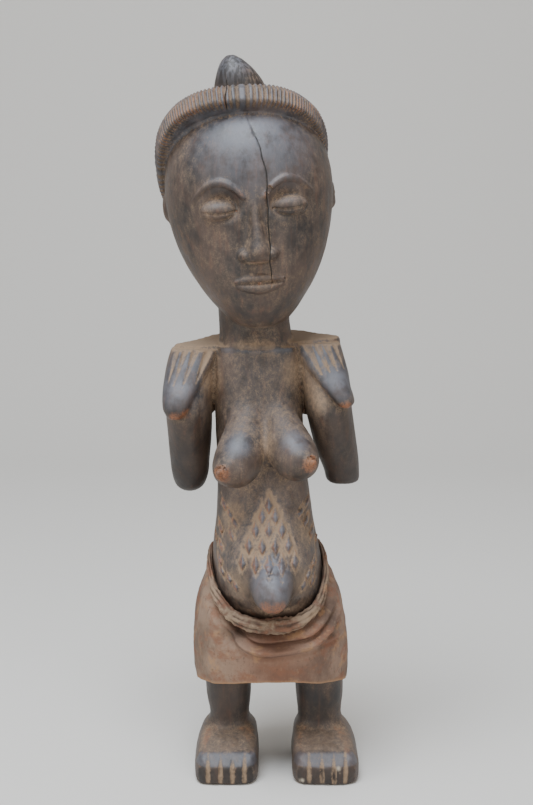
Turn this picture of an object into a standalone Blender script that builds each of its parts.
"""A standing ancestor figure carved from one billet of hardwood, wearing a stiff hide wrapper.

Run with blender --background --python part.py, or from Blender's text editor. Metres, +Z up, the
figure faces -Y, and the origin is on the ground under the middle of its outline.

The carving is free form, so it is drawn the way a carver sets out a billet: as level sections, in parts
of its own height. One part is a 466th of the height, a millimetre at this size. A section is
(height, middle x, middle y, half width, front depth, back depth, squareness), where a squareness of 2 is
an ellipse and more is boxier. The wrapper's wall and its clearance are real sizes of their own.
"""

import math

import bmesh
import bpy
from mathutils import Matrix, Vector

# Driving sizes, in metres.
HEIGHT = 0.466
WRAP_WALL = 0.0022
WRAP_CLEARANCE = 0.0006
RIB_DEPTH = 0.0012
SCAR_HEIGHT = 0.0014
GROOVE_RADIUS = 0.0009
FACET_ANGLE = 3.0

PARTS_IN_HEIGHT = 466
PART = HEIGHT / PARTS_IN_HEIGHT
RIB_COUNT = 66

# Trunk, from the crotch up to the collar: the belly swells at 145, under the breasts.
TRUNK = (
    (84, 3, 0, 33, 22, 30, 2.4),
    (92, 3, 0, 37, 28, 36, 2.4),
    (106, 2.5, 0, 38, 36, 37, 2.3),
    (120, 2, 0, 37.5, 46, 33, 2.2),
    (134, 1, 0, 36.5, 54, 28, 2.1),
    (146, 0, 0, 35.5, 55, 25, 2.1),
    (158, -0.8, 0, 33.8, 49, 23.5, 2.1),
    (172, -1.3, 0, 31.5, 40, 23, 2.2),
    (188, -2, 0, 30, 32, 22.5, 2.3),
    (206, -3.2, 0, 29, 27.5, 22.5, 2.4),
    (226, -4.4, 0, 28.6, 26, 22.5, 2.5),
    (248, -5.3, 0, 28.8, 26, 23, 2.6),
    (268, -6, 0, 30, 27, 23, 2.8),
    (284, -6, 0, 29, 27.5, 22, 3),
)

# The shoulders are one level block. Its sections are about its own middle, which YOKE_PLACE puts.
YOKE = (
    (-30, 0, 0, 40, 15, 16, 2.6),
    (-22, 0, 0, 47, 18, 20, 2.8),
    (-12, 0, 0, 52, 20, 22, 3.2),
    (-3, 0, 0, 54, 21, 23, 3.6),
    (0, 0, 0, 53, 20.4, 22.4, 3.6),
)
YOKE_PLACE = (-6.3, 1.5, 287.5)
YOKE_ROLL = -3.0
YOKE_PITCH = 5.0

NECK = (
    (272, -6, -3, 25, 24, 22, 2.1),
    (286, -6.8, -3.5, 23.6, 23.6, 21, 2.1),
    (300, -8, -4, 22.8, 22.5, 20.5, 2.1),
    (326, -9, -4, 23.5, 22, 22, 2.1),
)

# The head is cut about its own middle, leans to its right and turns a little to its left.
HEAD = (
    (-77, 0, -26, 9, 10, 12, 2.1),
    (-72, 0, -22, 17.5, 20, 20, 2.1),
    (-62, 0, -16, 27, 33, 26, 2.1),
    (-48, 0, -9, 37, 44, 34, 2.15),
    (-32, 0, -3, 45, 51, 44, 2.2),
    (-14, 0, 0, 50.5, 54.5, 52, 2.2),
    (4, 0, 0, 53, 55.5, 56, 2.2),
    (22, 0, 0, 52, 54, 57, 2.2),
    (38, 0, 0, 47.5, 49, 54, 2.15),
    (52, 0, 1, 39, 40, 47, 2.1),
    (62, 0, 2, 28, 28, 35, 2.05),
    (68, 0, 3, 15, 15, 19, 2),
    (70, 0, 3, 6, 6, 8, 2),
)
HEAD_PLACE = (-10.5, -6, 374)
HEAD_LEAN = -4.5
HEAD_TURN = 3.5

# A leaning cone of hair behind the band.
KNOT = (
    (58, 0.4, 7, 19, 18, 20, 2.1),
    (68, 0, 7, 17.4, 16.6, 18, 2.1),
    (76, -1, 6, 15.2, 15, 15.6, 2.1),
    (83, -2.4, 5, 11.8, 12.2, 12.4, 2.1),
    (89.4, -3.9, 4.4, 7, 7.6, 7.6, 2),
    (92.8, -4.8, 4, 2.6, 3, 3, 2),
)

# The ribbed band round the hair: a ring in a plane that drops towards the nape.
BAND_MIDDLE = (-2.8, 8, 27)
BAND_SLOPE = 41.0
BAND_TILT = 2.0
BAND_HALF_WIDTH = 48.6
BAND_HALF_LENGTH = 57
BAND_SQUARENESS = 2.7
# Its cross-section, as (out from the ring, along the head's surface), all the way round.
BAND_OUTLINE = ((-13, 6), (2.2, 8.6), (6.4, 2.6), (5.8, -5.4), (2.2, -8.6), (-13, -7.2))
BAND_RIBBED = (1, 2, 3, 4)

LEFT_ARM = (
    (191.4, 50.2, -1, 8.8, 8, 10, 2.6),
    (193.4, 50.2, 0, 10.6, 10.5, 13, 2.6),
    (201, 49.2, 0, 11.6, 14.5, 17, 2.5),
    (212, 46.6, 0, 13.4, 21, 19, 2.4),
    (230, 42.8, 0, 14.6, 28.5, 20, 2.4),
    (244, 40.2, 0, 15.4, 32.5, 20.5, 2.4),
    (258, 38, 0, 16, 29, 21, 2.4),
    (274, 34.4, 0, 16, 22.5, 21, 2.5),
    (284, 32, 0, 15, 18, 19, 2.8),
)
RIGHT_ARM = (
    (185.5, -50.6, 1, 4.5, 4.5, 6, 2.2),
    (190, -50.5, 1, 9, 10, 12.5, 2.3),
    (198, -50.3, 0, 11.8, 14.5, 17, 2.4),
    (210, -50.4, 0, 13, 21, 19, 2.4),
    (225, -50.4, 0, 14.2, 28, 20, 2.4),
    (241, -50.6, 0, 15.2, 33.5, 20.5, 2.4),
    (255, -50.2, 0, 16.2, 30, 21, 2.4),
    (270, -47.5, 0, 16.4, 23.5, 21, 2.5),
    (281, -45.5, 0, 15, 18, 19, 2.8),
)
# Each hand lies up against the shoulder's front edge, and its wrist end stands out furthest.
LEFT_HAND = (
    (246.8, 49.6, -20, 4.6, 18.4, 10, 2.4),
    (250, 48.8, -19, 7.4, 20.6, 10, 2.6),
    (258.5, 44, -16, 9.8, 21, 10, 2.8),
    (268, 39.4, -12, 12.9, 19.6, 10, 3),
    (277, 35.4, -9, 14.4, 17.6, 10, 3.2),
    (285.6, 32, -6, 15.2, 16.8, 10, 3.4),
)
RIGHT_HAND = (
    (239.6, -57.6, -21, 6, 17.8, 10, 2.4),
    (245, -56.8, -20, 9.2, 20, 10, 2.6),
    (253, -55.4, -17, 11.2, 20.6, 10, 2.8),
    (262, -52.4, -13, 13.4, 19.6, 10, 3),
    (272.5, -48.8, -9.5, 15, 18.4, 10, 3.2),
    (281.8, -45, -6.5, 16, 16.8, 10, 3.4),
)
# Finger gaps, as (x at the fingertips, x at the knuckles, how far down they run).
LEFT_FINGER_GAPS = ((24.4, 36, 19), (31.2, 40.6, 18), (37.6, 45.2, 16), (43.4, 49.6, 16))
RIGHT_FINGER_GAPS = ((-36, -45.4, 20), (-43.4, -53, 22), (-49.6, -58, 22), (-55.4, -62, 20))

# Breasts hang forward and out: (x, y, z, radius) from the chest to the tip.
LEFT_BREAST = (
    (6.5, -17, 242, 10.5),
    (10.5, -25, 232, 12.6),
    (14.6, -33, 221.4, 15),
    (18.2, -39, 215.6, 14.6),
    (22, -45, 214.4, 11.2),
    (26.2, -50.6, 214.8, 5.4),
    (28, -53.4, 215.2, 2.6),
)
RIGHT_BREAST = (
    (-10.5, -17, 242, 10.5),
    (-13, -25, 231, 13),
    (-16, -33.5, 218.8, 15.4),
    (-18.8, -40, 212, 15),
    (-22, -46.4, 209.8, 11.6),
    (-25.8, -51.8, 209.6, 5.8),
    (-27.6, -54.6, 209.6, 2.8),
)
# A stout navel boss that points forward and a little down.
NAVEL = (
    (3.2, -42, 138, 12.6),
    (3.3, -52, 136.4, 13.2),
    (3.4, -58, 134.8, 12.8),
    (3.6, -63.5, 132.6, 10.6),
    (3.9, -67.5, 130.6, 6.8),
    (4, -69.8, 129.4, 3.2),
)

LEFT_LEG = (
    (22, 36, 0, 14.8, 14, 15, 2.4),
    (34, 35.6, 0, 14.4, 14.6, 15, 2.4),
    (48, 35.4, 0, 15.8, 16.5, 16, 2.3),
    (64, 34.6, 0, 16.2, 19, 18.5, 2.3),
    (82, 30, 0, 16.5, 22, 24, 2.3),
    (98, 24, 0, 18, 24, 28, 2.3),
)
RIGHT_LEG = (
    (22, -25.2, 0, 13.6, 14, 15, 2.4),
    (34, -25, 0, 13.2, 14.6, 15, 2.4),
    (48, -25.6, 0, 15, 16.5, 16, 2.3),
    (64, -25.6, 0, 15.4, 19, 18.5, 2.3),
    (82, -23, 0, 16.5, 22, 24, 2.3),
    (98, -18, 0, 18, 24, 28, 2.3),
)
LEFT_FOOT = (
    (0, 38.8, -13, 20.4, 31, 33, 5),
    (2, 38.8, -13, 21.8, 33, 34.4, 5),
    (10, 38.8, -13, 22, 33.4, 34.4, 5),
    (14, 38.6, -13, 21.4, 32, 33.8, 4.8),
    (17.2, 38.2, -13, 20.4, 29, 33, 4.6),
    (19, 38, -12, 19.8, 26, 31.4, 4.4),
    (23, 37.2, -9, 19.2, 19.6, 27, 4.2),
    (27.4, 36.2, -4, 18.2, 13.4, 20.6, 3.8),
    (31, 36, 0, 16, 14, 16, 3),
    (35, 36, 0, 13.6, 12, 14, 2.4),
)
RIGHT_FOOT = (
    (0, -26.2, -13, 19.4, 31, 32, 5),
    (2, -26.2, -13, 20.8, 33, 33.4, 5),
    (10, -26.2, -13, 21, 33.4, 33.4, 5),
    (14, -26, -13, 20.6, 32, 32.8, 4.8),
    (17.2, -25.8, -13, 19.8, 29, 32, 4.6),
    (19, -25.6, -12, 19.4, 26, 30.4, 4.4),
    (23, -25.2, -9, 19, 19.6, 26.4, 4.2),
    (27.4, -25, -4, 18.2, 13.4, 20, 3.8),
    (31, -25, 0, 15.4, 14, 16, 3),
    (35, -25, 0, 12.6, 12, 14, 2.4),
)
LEFT_TOE_GAPS = (27.6, 36, 43.8, 51.4)
RIGHT_TOE_GAPS = (-38, -29.8, -22, -14.2)
TOE_LENGTH = 11

# The face is set out by the usual canon, on the run from the hair band down to the chin.
HAIRLINE = 57
CHIN = -77
FACE_LONG = HAIRLINE - CHIN
BROW_HEIGHT = HAIRLINE - FACE_LONG / 3
NOSE_HEIGHT = CHIN + FACE_LONG / 3
MOUTH_HEIGHT = NOSE_HEIGHT - FACE_LONG / 9
EYE_HEIGHT = (HEAD[-1][0] + CHIN) / 2 + 1
EYE_WIDE = 2 * 53 / 5
NOSE = (
    (NOSE_HEIGHT - 3, 0, -45, 6, 8, 8, 2.4),
    (NOSE_HEIGHT - 1.4, 0, -45, 9.6, 13.4, 8, 2.3),
    (NOSE_HEIGHT + 2, 0, -45, 11, 17, 8, 2.1),
    (NOSE_HEIGHT + 6, 0, -45, 9.8, 17.6, 8, 2.0),
    (NOSE_HEIGHT + 12, 0, -45, 7, 16, 8, 2),
    (NOSE_HEIGHT + 22, 0, -45, 5.2, 13.2, 8, 2),
    (NOSE_HEIGHT + 34, 0, -45, 5.4, 11.2, 8, 2),
    (NOSE_HEIGHT + 44, 0, -45, 7.4, 9.2, 8, 2),
)

# The scar lozenges: rows of a triangle on the belly, and a loose group on each flank.
SCAR_HALF_WIDE = 2.5
SCAR_HALF_LONG = 4.4
SCAR_MIDDLE = 1.5
SCAR_TOP = 183.4
SCAR_ROW_STEP = 8.6
SCAR_ROWS = 5
SCAR_COLUMN_STEP = 8.4
FLANK_SCARS = ((-27.4, 181), (-23.4, 176.4), (-20.4, 172), (-22.4, 164.6), (-29.6, 166), (-29.4, 156), (-30, 147),
               (-28.4, 140.6), (-23.8, 137.6), (-19.4, 133), (26.6, 182), (22, 177.4), (25.6, 171), (29.4, 163),
               (30.4, 145.6), (27, 139.4), (29.6, 134.4), (23.6, 133))

# The wrapper's bell, from the hem to the waist, outside. Its front is pushed out by the belly.
BELL = (
    (54, 3.8, 0, 47.4, 37.6, 38, 2.5),
    (60, 3.8, 0, 49.4, 40, 40.4, 2.5),
    (72, 3.2, 0, 51.2, 43.4, 43, 2.5),
    (86, 2.8, 0, 51.6, 47, 45, 2.4),
    (102, 2.4, 0, 50, 50.5, 45.6, 2.3),
    (118, 2, 0, 46.8, 54, 43, 2.25),
    (134, 1.3, 0, 41.2, 59, 34, 2.2),
    (148, 0.3, 0, 36.8, 60, 29, 2.15),
    (160, 0, 0, 35.6, 52, 27, 2.1),
)
HEM_AT_BACK = 58
HEM_RISE_IN_FRONT = 9
WAIST_AT_BACK = 150
WAIST_DROP_IN_FRONT = 42.5
WAIST_DROP_POWER = 2.4
# Its rolled waist, thick under the belly and thin behind, and the swag that sags below the roll.
ROLL_IN_FRONT = 5.8
ROLL_BEHIND = 1.6
ROLL_FLATNESS = 0.8
SWAG_LOW = 91.5
SWAG_RISE_LEFT = 70
SWAG_RISE_RIGHT = 28
SWAG_END_LEFT = 0.85
SWAG_END_RIGHT = 1.25
SWAG_PROUD = 2.6
SWAG_SUNK = 2.2
SWAG_WIDTH = 3.2


def squared(value, squareness):
    """A sine or cosine bent towards a box, with its sign."""
    return math.copysign(abs(value) ** (2 / squareness), value)


def section_at(sections, height):
    """The section at any height, on smooth curves through the given ones."""
    last = len(sections) - 2
    index = max([i for i in range(last + 1) if sections[i][0] <= height], default=0)
    low, high = sections[index], sections[index + 1]
    before, after = sections[max(index - 1, 0)], sections[min(index + 2, last + 1)]
    gap = high[0] - low[0]
    t = min(max((height - low[0]) / gap, 0), 1)
    values = []
    for a, b, c, d in zip(before[1:], low[1:], high[1:], after[1:]):
        start = (c - a) / (high[0] - before[0]) * gap
        end = (d - b) / (after[0] - low[0]) * gap
        values.append(
            b * (1 + 2 * t) * (1 - t) ** 2 + start * t * (1 - t) ** 2
            + c * t * t * (3 - 2 * t) - end * t * t * (1 - t)
        )
    return (height, *values)


def on_section(section, angle, out=0.0):
    """A point of a section's outline, in parts. Angle 0 is the front, and a quarter turn is +X."""
    height, middle_x, middle_y, half_width, front, back, squareness = section
    depth = front if math.cos(angle) > 0 else back
    return Vector((
        middle_x + (half_width + out) * squared(math.sin(angle), squareness),
        middle_y - (depth + out) * squared(math.cos(angle), squareness),
        height,
    ))


def front_of(sections, x, height):
    """The y of a form's front surface at that x and height, in parts."""
    _, middle_x, middle_y, half_width, front, _, squareness = section_at(sections, height)
    across = min(abs(x - middle_x) / half_width, 0.98)
    return middle_y - front * (1 - across**squareness) ** (1 / squareness)


def closed_mesh(name, rings):
    """A closed mesh through rings of points in parts, all of one length, with a flat cap on each end."""
    mesh = bmesh.new()
    loops = [[mesh.verts.new(Vector(point) * PART) for point in ring] for ring in rings]
    around = len(loops[0])
    for low, high in zip(loops, loops[1:]):
        for i in range(around):
            j = (i + 1) % around
            mesh.faces.new((low[i], low[j], high[j], high[i]))
    mesh.faces.new(reversed(loops[0]))
    mesh.faces.new(loops[-1])
    bmesh.ops.recalc_face_normals(mesh, faces=mesh.faces)
    data = bpy.data.meshes.new(name)
    mesh.to_mesh(data)
    mesh.free()
    return bpy.data.objects.new(name, data)


def stack(name, sections, around, steps=2, place=Matrix.Identity(4)):
    """A form through level sections, with steps rings from each section to the next."""
    heights = [
        low[0] + (high[0] - low[0]) * step / steps
        for low, high in zip(sections, sections[1:])
        for step in range(steps)
    ] + [sections[-1][0]]
    turns = [math.tau * i / around for i in range(around)]
    rings = [
        [place @ on_section(section_at(sections, height), turn) for turn in turns]
        for height in heights
    ]
    return closed_mesh(name, rings)


def limb(name, stations, around=12, place=Matrix.Identity(4)):
    """A round form along a path of (x, y, z, radius) stations."""
    points = [place @ Vector(station[:3]) for station in stations]
    side = None
    rings = []
    for i, point in enumerate(points):
        ahead = points[min(i + 1, len(points) - 1)] - points[max(i - 1, 0)]
        ahead.normalize()
        if side is None:
            side = ahead.orthogonal()
        side = (side - ahead * side.dot(ahead)).normalized()
        other = ahead.cross(side)
        radius = stations[i][3]
        rings.append([
            point + radius * (side * math.cos(math.tau * k / around) + other * math.sin(math.tau * k / around))
            for k in range(around)
        ])
    return closed_mesh(name, rings)


def ball(name, centre, radii, place=Matrix.Identity(4), around=12):
    """An ellipsoid, in parts."""
    rings = around // 2
    turns = [math.pi * (i + 0.5) / rings for i in range(rings)]
    return closed_mesh(name, [
        [
            place @ (Vector(centre) + Vector((
                radii[0] * math.sin(turn) * math.cos(math.tau * k / around),
                radii[1] * math.sin(turn) * math.sin(math.tau * k / around),
                -radii[2] * math.cos(turn),
            )))
            for k in range(around)
        ]
        for turn in turns
    ])


def turned(place, lean, turn, pitch=0.0):
    """Where a tilted form stands: at place, in parts, leaning in degrees about Y, X and Z."""
    return (
        Matrix.Translation(place)
        @ Matrix.Rotation(math.radians(turn), 4, "Z")
        @ Matrix.Rotation(math.radians(lean), 4, "Y")
        @ Matrix.Rotation(math.radians(pitch), 4, "X")
    )


HEAD_STANDS = turned(HEAD_PLACE, HEAD_LEAN, HEAD_TURN)
YOKE_STANDS = turned(YOKE_PLACE, YOKE_ROLL, 0, YOKE_PITCH)


def on_face(x, height, proud=0.0):
    """A point of the face, in the head's own parts."""
    return Vector((x, front_of(HEAD, x, height) - proud, height))


def band():
    """The ribbed band: its cross-section carried round a sloping ring, with a groove between ribs."""
    slope = Matrix.Rotation(math.radians(BAND_TILT), 4, "Y") @ Matrix.Rotation(math.radians(-BAND_SLOPE), 4, "X")
    place = HEAD_STANDS @ Matrix.Translation(BAND_MIDDLE) @ slope
    groove = RIB_DEPTH / PART
    rings = []
    for i in range(2 * RIB_COUNT):
        turn = math.tau * i / (2 * RIB_COUNT)
        outward = Vector((math.sin(turn), -math.cos(turn), 0))
        on_ring = Vector((
            BAND_HALF_WIDTH * squared(math.sin(turn), BAND_SQUARENESS),
            -BAND_HALF_LENGTH * squared(math.cos(turn), BAND_SQUARENESS),
            0,
        ))
        sunk = groove if i % 2 else 0.0
        rings.append([
            place @ (on_ring + outward * (out - sunk * (k in BAND_RIBBED)) + Vector((0, 0, along)))
            for k, (out, along) in enumerate(BAND_OUTLINE)
        ])
    return ring_mesh("band", rings)


def ring_mesh(name, rings):
    """A closed tube through rings of points in parts, whose last ring joins the first."""
    mesh = bmesh.new()
    loops = [[mesh.verts.new(Vector(point) * PART) for point in ring] for ring in rings]
    around = len(loops[0])
    for i, low in enumerate(loops):
        high = loops[(i + 1) % len(loops)]
        for k in range(around):
            m = (k + 1) % around
            mesh.faces.new((low[k], low[m], high[m], high[k]))
    bmesh.ops.recalc_face_normals(mesh, faces=mesh.faces)
    data = bpy.data.meshes.new(name)
    mesh.to_mesh(data)
    mesh.free()
    return bpy.data.objects.new(name, data)


def arc_on_face(middle, half_width, rise, end_drop, radii, proud, count=9):
    """Stations of an arched ridge or slit on the face. Rise is at its middle, and its ends drop."""
    stations = []
    for i in range(count):
        share = 2 * i / (count - 1) - 1
        x = middle[0] + half_width * share
        height = middle[1] + rise * (1 - share * share) - end_drop * share * share
        radius = radii[0] + (radii[1] - radii[0]) * abs(share) ** 1.5
        stations.append((*on_face(x, height, proud), radius))
    return stations


def face():
    """Brows, closed lids, nose, lips and ears, as solids to add to the head."""
    forms = [stack("nose", NOSE, 14, 1, HEAD_STANDS)]
    for side in (-1, 1):
        eye = side * EYE_WIDE
        brow = arc_on_face((eye, BROW_HEIGHT - 3), 15, 5, 5, (2.3, 1.2), -0.6)
        forms.append(limb("brow", brow, 6, HEAD_STANDS))
        lid = on_face(eye, EYE_HEIGHT, -3.4)
        forms.append(ball("lid", lid, (11.4, 6.2, 6.4), HEAD_STANDS))
        ear = Vector((side * 51, 4, EYE_HEIGHT + 4))
        forms.append(ball("ear", ear, (5, 6.4, 9.4), HEAD_STANDS, 10))
    upper_lip = arc_on_face((0, MOUTH_HEIGHT + 1.6), 14.5, 0.8, 0.6, (2.7, 1.1), -0.9)
    lower_lip = arc_on_face((0, MOUTH_HEIGHT - 2.2), 13.5, -0.8, -1.2, (3, 1.1), -0.9)
    return [*forms, limb("upper_lip", upper_lip, 6, HEAD_STANDS), limb("lower_lip", lower_lip, 6, HEAD_STANDS)]


def face_cuts():
    """The slits of the closed eyes and of the mouth, and the hollow of each ear."""
    width = GROOVE_RADIUS / PART
    mouth = arc_on_face((0, MOUTH_HEIGHT - 0.2), 13.5, 0.3, -0.4, (width, 0.5 * width), 1.6)
    cuts = [limb("mouth_slit", mouth, 4, HEAD_STANDS)]
    for side in (-1, 1):
        stations = []
        for i in range(7):
            share = i / 3 - 1
            lid_front = on_face(side * EYE_WIDE, EYE_HEIGHT, 2.8)
            x = side * EYE_WIDE + 10.8 * share
            depth = lid_front.y + 5.6 * (1 - math.sqrt(1 - 0.86 * share * share))
            stations.append((x, depth, EYE_HEIGHT - 2.2 + 1.6 * share * share, width))
        cuts.append(limb("eye_slit", stations, 4, HEAD_STANDS))
        hollow = Vector((side * 56.5, 3, EYE_HEIGHT + 4))
        cuts.append(ball("ear_hollow", hollow, (2.6, 3.4, 6), HEAD_STANDS, 8))
    return cuts


def finger_gaps(hand, gaps):
    """Grooves between the fingers, from the tips at the shoulder's edge down to the knuckles."""
    top = hand[-1][0]
    cuts = []
    for tip_x, knuckle_x, run in gaps:
        stations = []
        for i in range(5):
            share = i / 4
            x = tip_x + (knuckle_x - tip_x) * share
            height = top + 1 - (run + 1) * share
            radius = GROOVE_RADIUS / PART * (1.6 - 1.2 * share)
            stations.append((x, front_of(hand, x, height) - 0.2, height, radius))
        cuts.append(limb("finger_gap", stations, 5))
    return cuts


def toe_gaps(foot, gaps):
    """Grooves between the toes, over their tops and down their front."""
    cuts = []
    for x in gaps:
        front = front_of(foot, x, 9)
        width = GROOVE_RADIUS / PART
        path = ((front - 0.6, -2), (front - 0.4, 9), (front + 2.2, 15.2), (front + TOE_LENGTH, 20.4))
        stations = [(x, y, z, width * (1.2 - 0.2 * i)) for i, (y, z) in enumerate(path)]
        cuts.append(limb("toe_gap", stations, 5))
    return cuts


def scar(x, height):
    """One raised lozenge on the trunk."""
    proud = SCAR_HEIGHT / PART
    y = front_of(TRUNK, x, height)
    slope_x = (front_of(TRUNK, x + 0.5, height) - front_of(TRUNK, x - 0.5, height)) / 1.0
    slope_z = (front_of(TRUNK, x, height + 0.5) - front_of(TRUNK, x, height - 0.5)) / 1.0
    out = Vector((slope_x, -1, slope_z)).normalized()
    across = Vector((1, slope_x, 0)).normalized()
    up = out.cross(across)
    if up.z < 0:
        up.negate()
    foot = Vector((x, y, height))
    corners = [
        foot + across * (SCAR_HALF_WIDE * math.sin(turn)) + up * (SCAR_HALF_LONG * math.cos(turn))
        for turn in (0, math.pi / 2, math.pi, 3 * math.pi / 2)
    ]
    base = [foot + (corner - foot) * 1.25 - out * 1.4 for corner in corners]
    crown = [foot + (corner - foot) * 0.3 + out * proud - up * 0.8 for corner in corners]
    return closed_mesh("scar", [base, crown])


def scars():
    """The belly's triangle of lozenges, one more in each row, and the groups on the flanks."""
    places = [
        (SCAR_MIDDLE + (column - row / 2) * SCAR_COLUMN_STEP, SCAR_TOP - row * SCAR_ROW_STEP)
        for row in range(SCAR_ROWS)
        for column in range(row + 1)
    ]
    return [scar(x, height) for x, height in (*places, *FLANK_SCARS)]


def front_share(angle, power):
    """1 at the very front and 0 at the back, falling faster with a higher power."""
    return ((1 + math.cos(angle)) / 2) ** power


def wrap_heights(angle):
    """The hem's and the waist's height at that angle, in parts."""
    hem = HEM_AT_BACK + HEM_RISE_IN_FRONT * front_share(angle, 2)
    waist = WAIST_AT_BACK - WAIST_DROP_IN_FRONT * front_share(angle, WAIST_DROP_POWER)
    return hem, waist


def swag(angle, height):
    """How far the wrapper stands out for the swag that sags below its roll, in parts."""
    turn = math.atan2(math.sin(angle), math.cos(angle))
    rise, end = (SWAG_RISE_RIGHT, SWAG_END_RIGHT) if turn > 0 else (SWAG_RISE_LEFT, SWAG_END_LEFT)
    line = SWAG_LOW + rise * (1 - math.cos(min(abs(turn), end) * 1.15))
    fade = max(0.0, math.cos(min(abs(turn) / end, 1) * math.pi / 2)) ** 0.7
    lip = math.exp(-(((height - line) / SWAG_WIDTH) ** 2))
    hollow = math.exp(-(((height - line - 2.1 * SWAG_WIDTH) / (1.3 * SWAG_WIDTH)) ** 2))
    return fade * (SWAG_PROUD * lip - SWAG_SUNK * hollow)


def wrapper():
    """The hide wrapper: a bell-shaped shell from the hem to the waist, with its waist rolled over."""
    around, rows = 36, 9
    wall = WRAP_WALL / PART
    clearance = WRAP_CLEARANCE / PART
    outside, inside = [], []
    for row in range(rows + 1):
        share = row / rows
        outer_row, inner_row = [], []
        for i in range(around):
            angle = math.tau * i / around
            hem, waist = wrap_heights(angle)
            height = hem + (waist - hem) * share
            bell = section_at(BELL, height)
            outer = on_section(bell, angle, swag(angle, height))
            inner = on_section(bell, angle, swag(angle, height) - wall)
            body = on_section(section_at(TRUNK, height), angle, clearance)
            clad = on_section(section_at(TRUNK, height), angle, clearance + wall)
            outer_row.append(further(outer, clad))
            inner_row.append(further(inner, body))
        outside.append(outer_row)
        inside.append(inner_row)
    shell = ring_mesh_between("wrapper", outside, inside)
    shell.data.materials.append(material("hide", (0.17, 0.105, 0.075), 0.72))
    roll = waist_roll()
    join(shell, [roll], "UNION")
    trunk_room = stack("trunk_room", padded(TRUNK, clearance), 24, 1)
    join(shell, [trunk_room], "DIFFERENCE")
    return shell


def further(first, second):
    """Whichever point is further out from the trunk's axis, seen from above."""
    return first if first.xy.length > second.xy.length else second


def padded(sections, extra):
    """Sections grown outwards all round."""
    return tuple((h, x, y, w + extra, f + extra, b + extra, n) for h, x, y, w, f, b, n in sections)


def waist_roll():
    """The rolled waist: a tube that rides on the trunk along the wrapper's slanting top edge."""
    clearance = WRAP_CLEARANCE / PART
    rings = []
    for i in range(36):
        angle = math.tau * i / 36
        _, waist = wrap_heights(angle)
        radius = ROLL_BEHIND + (ROLL_IN_FRONT - ROLL_BEHIND) * front_share(angle, WAIST_DROP_POWER)
        middle = on_section(section_at(TRUNK, waist), angle, clearance + 0.8 * radius)
        outward = Vector((math.sin(angle), -math.cos(angle), 0))
        rings.append([
            middle
            + radius * ROLL_FLATNESS * math.cos(math.tau * k / 6) * outward
            + radius * math.sin(math.tau * k / 6) * Vector((0, 0, 1))
            for k in range(6)
        ])
    return ring_mesh("waist_roll", rings)


def ring_mesh_between(name, outside, inside):
    """A shell from rows of outer points and rows of inner points, closed along its hem and its waist."""
    mesh = bmesh.new()
    walls = [[[mesh.verts.new(point * PART) for point in row] for row in side] for side in (outside, inside)]
    around = len(outside[0])
    for side in walls:
        for low, high in zip(side, side[1:]):
            for i in range(around):
                j = (i + 1) % around
                mesh.faces.new((low[i], low[j], high[j], high[i]))
    for row in (0, -1):
        for i in range(around):
            j = (i + 1) % around
            mesh.faces.new((walls[0][row][i], walls[0][row][j], walls[1][row][j], walls[1][row][i]))
    bmesh.ops.recalc_face_normals(mesh, faces=mesh.faces)
    data = bpy.data.meshes.new(name)
    mesh.to_mesh(data)
    mesh.free()
    return bpy.data.objects.new(name, data)


def material(name, colour, roughness):
    """A plain finish."""
    made = bpy.data.materials.new(name)
    made.use_nodes = True
    shader = made.node_tree.nodes["Principled BSDF"]
    shader.inputs["Base Color"].default_value = (*colour, 1)
    shader.inputs["Roughness"].default_value = roughness
    return made


def join(target, tools, operation):
    """Adds the tools to the target, or cuts them from it, with one Boolean modifier."""
    helpers = bpy.data.collections.new(f"{target.name}_{operation.lower()}")
    bpy.context.scene.collection.children.link(helpers)
    for tool in tools:
        tool.hide_render = True
        tool.display_type = "WIRE"
        tool.parent = stand()
        helpers.objects.link(tool)
    modifier = target.modifiers.new(operation.lower(), "BOOLEAN")
    modifier.operation = operation
    modifier.operand_type = "COLLECTION"
    modifier.collection = helpers
    modifier.solver = "EXACT"


def flatten(target):
    """Merges neighbouring facets that are nearly in one plane."""
    modifier = target.modifiers.new("flatten", "DECIMATE")
    modifier.decimate_type = "DISSOLVE"
    modifier.angle_limit = math.radians(FACET_ANGLE)


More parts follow.
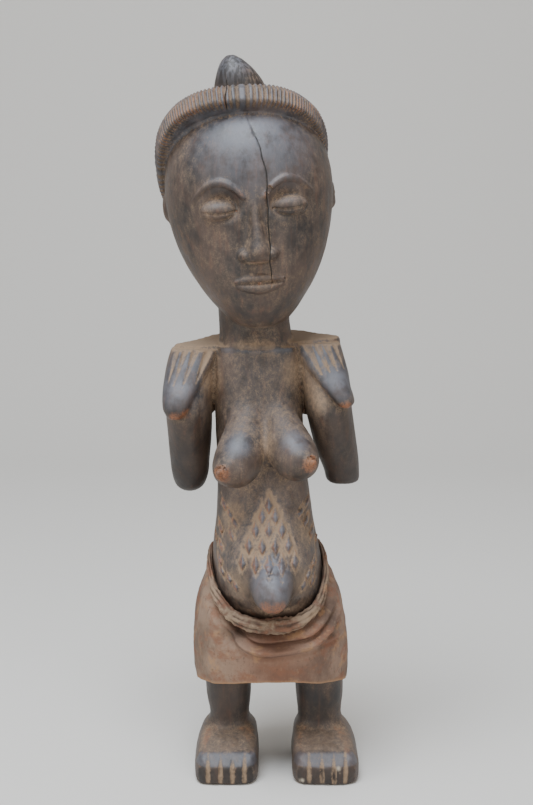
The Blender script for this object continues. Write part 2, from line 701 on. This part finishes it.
def stand():
    """The empty that carries every piece, and that the origin is set by."""
    return bpy.data.objects["figure_stand"]


def figure():
    """The whole carving, as one solid."""
    body = stack("figure", TRUNK, 24, 1)
    additions = [
        stack("yoke", YOKE, 24, 1, YOKE_STANDS),
        stack("neck", NECK, 20, 1),
        stack("head", HEAD, 28, 1, HEAD_STANDS),
        stack("knot", KNOT, 16, 1, HEAD_STANDS),
        band(),
        stack("left_arm", LEFT_ARM, 14, 1),
        stack("right_arm", RIGHT_ARM, 14, 1),
        stack("left_hand", LEFT_HAND, 14, 1),
        stack("right_hand", RIGHT_HAND, 14, 1),
        limb("left_breast", LEFT_BREAST, 14),
        limb("right_breast", RIGHT_BREAST, 14),
        limb("navel", NAVEL, 14),
        stack("left_leg", LEFT_LEG, 14, 1),
        stack("right_leg", RIGHT_LEG, 14, 1),
        stack("left_foot", LEFT_FOOT, 20, 1),
        stack("right_foot", RIGHT_FOOT, 20, 1),
        *face(),
        *scars(),
    ]
    cuts = [
        *face_cuts(),
        *finger_gaps(LEFT_HAND, LEFT_FINGER_GAPS),
        *finger_gaps(RIGHT_HAND, RIGHT_FINGER_GAPS),
        *toe_gaps(LEFT_FOOT, LEFT_TOE_GAPS),
        *toe_gaps(RIGHT_FOOT, RIGHT_TOE_GAPS),
    ]
    body.data.materials.append(material("dark_wood", (0.065, 0.048, 0.038), 0.42))
    join(body, additions, "UNION")
    join(body, cuts, "DIFFERENCE")
    return body


def main():
    for old in list(bpy.data.objects):
        bpy.data.objects.remove(old)
    empty = bpy.data.objects.new("figure_stand", None)
    bpy.context.scene.collection.objects.link(empty)
    pieces = [figure(), wrapper()]
    for piece in pieces:
        flatten(piece)
        piece.parent = empty
        bpy.context.scene.collection.objects.link(piece)
        piece.data.shade_smooth()
        piece.data.set_sharp_from_angle(angle=math.radians(35))
    solids = [o for o in bpy.data.objects if o.type == "MESH"]
    corners = [vertex.co for o in solids for vertex in o.data.vertices]
    for axis in (0, 1):
        values = [corner[axis] for corner in corners]
        empty.location[axis] = -(min(values) + max(values)) / 2


main()
